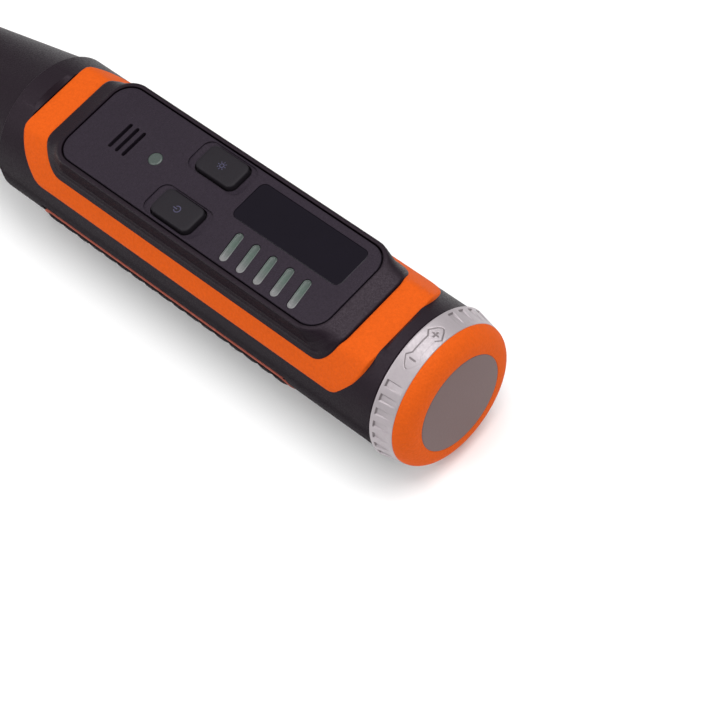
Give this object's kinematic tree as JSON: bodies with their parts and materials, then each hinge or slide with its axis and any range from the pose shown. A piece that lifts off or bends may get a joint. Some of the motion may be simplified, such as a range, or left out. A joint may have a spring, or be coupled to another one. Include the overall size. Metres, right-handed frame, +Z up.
{
  "type": "non contact voltage tester",
  "caption": "Torch-shaped non-contact voltage tester with a raised display console, level lights, a soft accent band, push keys, a tapered sensing probe and a rotating end dial.",
  "frame": {"origin": "on the resting surface, under the middle of the tool's length", "axes": "+X along the tool towards the rotating dial, +Z up through the display console"},
  "size_m": [0.186, 0.034, 0.0353],
  "materials": {
    "housing_abs": "fine moulded texture",
    "faceplate_abs": "fine moulded texture",
    "grip_rubber": "matt",
    "accent_tpe": "satin soft-touch",
    "window_acrylic": "gloss",
    "display_glass": "gloss",
    "light_pipe_pc": "frosted",
    "key_silicone": "matt",
    "dial_zinc": "satin silver lacquer",
    "disc_paint": "satin",
    "board_laminate": "solder mask",
    "component_plastic": "matt",
    "cell_sleeve": "gloss",
    "spring_steel": "bright",
    "antenna_copper": "bright",
    "reflector_chrome": "mirror",
    "tip_pc": "frosted"
  },
  "bodies": {
    "housing": {"upper_housing": "housing_abs", "lower_housing": "housing_abs", "housing_screws": "spring_steel", "accent_band": "accent_tpe", "battery_door": "grip_rubber", "door_trim": "accent_tpe", "door_screw": "spring_steel", "console_faceplate": "faceplate_abs", "display_window": "window_acrylic", "display_module": "display_glass", "level_light_1": "light_pipe_pc", "level_light_2": "light_pipe_pc", "level_light_3": "light_pipe_pc", "level_light_4": "light_pipe_pc", "level_light_5": "light_pipe_pc", "level_leds": "light_pipe_pc", "alert_lens": "light_pipe_pc", "power_switch": "component_plastic", "torch_switch": "component_plastic", "main_board": "board_laminate", "buzzer": "component_plastic", "battery_tray": "housing_abs", "battery_cell_1": "cell_sleeve", "battery_cell_2": "cell_sleeve", "battery_spring_1": "spring_steel", "battery_spring_2": "spring_steel", "battery_contacts": "spring_steel", "potentiometer": "spring_steel", "potentiometer_nut": "spring_steel", "dial_seal": "grip_rubber", "probe_nose": "housing_abs", "probe_tip": "tip_pc", "sensing_antenna": "antenna_copper", "sensor_board": "board_laminate", "torch_lens": "light_pipe_pc", "torch_reflector": "reflector_chrome", "torch_led": "light_pipe_pc"},
    "dial": {"dial_ring": "dial_zinc", "dial_cap": "accent_tpe", "dial_end_disc": "disc_paint", "dial_shaft": "spring_steel"},
    "power_key": {"power_button": "key_silicone"},
    "torch_key": {"torch_button": "key_silicone"}
  },
  "joints": [
    {"name": "dial_turn", "type": "hinge", "parent": "housing", "child": "dial", "pos_m": [0.0876, 0, 0.0176], "axis": [1, 0, 0], "range_deg": [-140, 140]},
    {"name": "power_press", "type": "slide", "parent": "housing", "child": "power_key", "axis": [0, 0, -1], "range_m": [0, 0.0005], "stiffness_N_per_m": 2000},
    {"name": "torch_press", "type": "slide", "parent": "housing", "child": "torch_key", "axis": [0, 0, -1], "range_m": [0, 0.0005], "stiffness_N_per_m": 2000}
  ]
}
